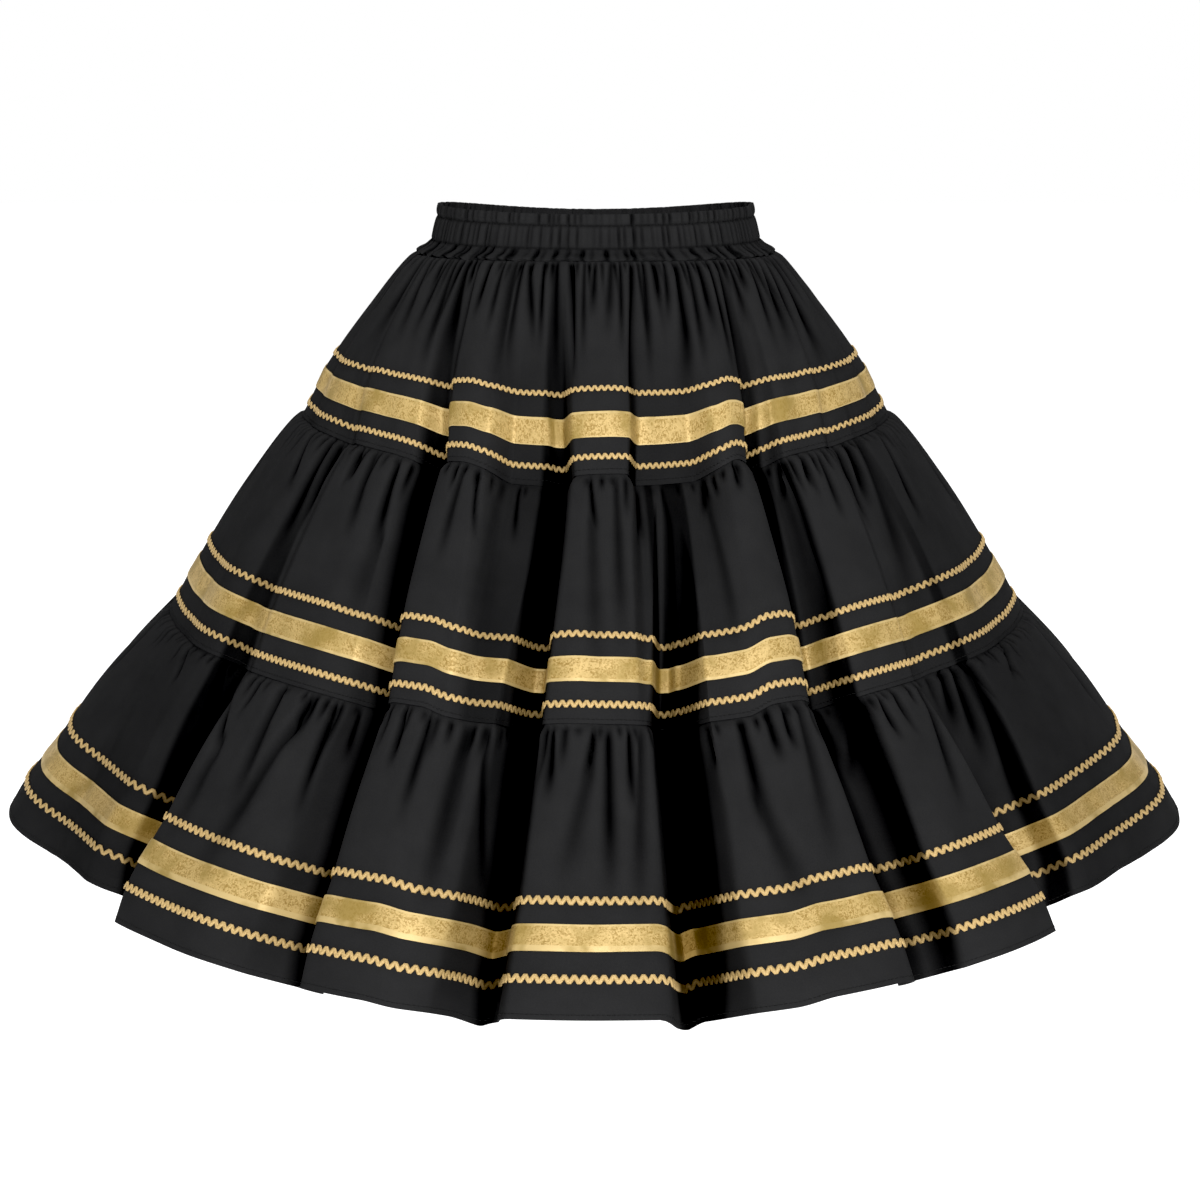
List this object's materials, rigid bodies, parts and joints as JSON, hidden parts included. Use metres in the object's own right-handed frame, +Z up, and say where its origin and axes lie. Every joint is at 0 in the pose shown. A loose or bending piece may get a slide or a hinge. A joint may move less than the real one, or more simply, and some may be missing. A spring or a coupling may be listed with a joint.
{
  "type": "square dance skirt",
  "caption": "Tiered gathered skirt with a shirred elastic waistband in its hollow worn form, open at waist and hem, with a metallic ribbon between zigzag braids along the foot of each tier.",
  "frame": {"origin": "centre of the waistband, halfway up it, where the wearer's waist holds the skirt", "axes": "+Z up the wearer's body, -Y to the front, +X to the viewer's right as seen from the front"},
  "size_m": [0.922, 0.9328, 0.4916],
  "materials": {
    "cotton": "matt woven cotton",
    "ribbon": "metallic glitter ribbon",
    "braid": "metallic zigzag braid"
  },
  "bodies": {
    "root": {"waistband": "cotton", "upper_tier_front": "cotton", "upper_tier_back": "cotton", "upper_ribbon": "ribbon", "upper_braid_upper": "braid", "upper_braid_lower": "braid", "middle_tier_front": "cotton", "middle_tier_back": "cotton", "middle_ribbon": "ribbon", "middle_braid_upper": "braid", "middle_braid_lower": "braid", "lower_tier_front": "cotton", "lower_tier_back": "cotton", "lower_ribbon": "ribbon", "lower_braid_upper": "braid", "lower_braid_lower": "braid"}
  },
  "joints": []
}
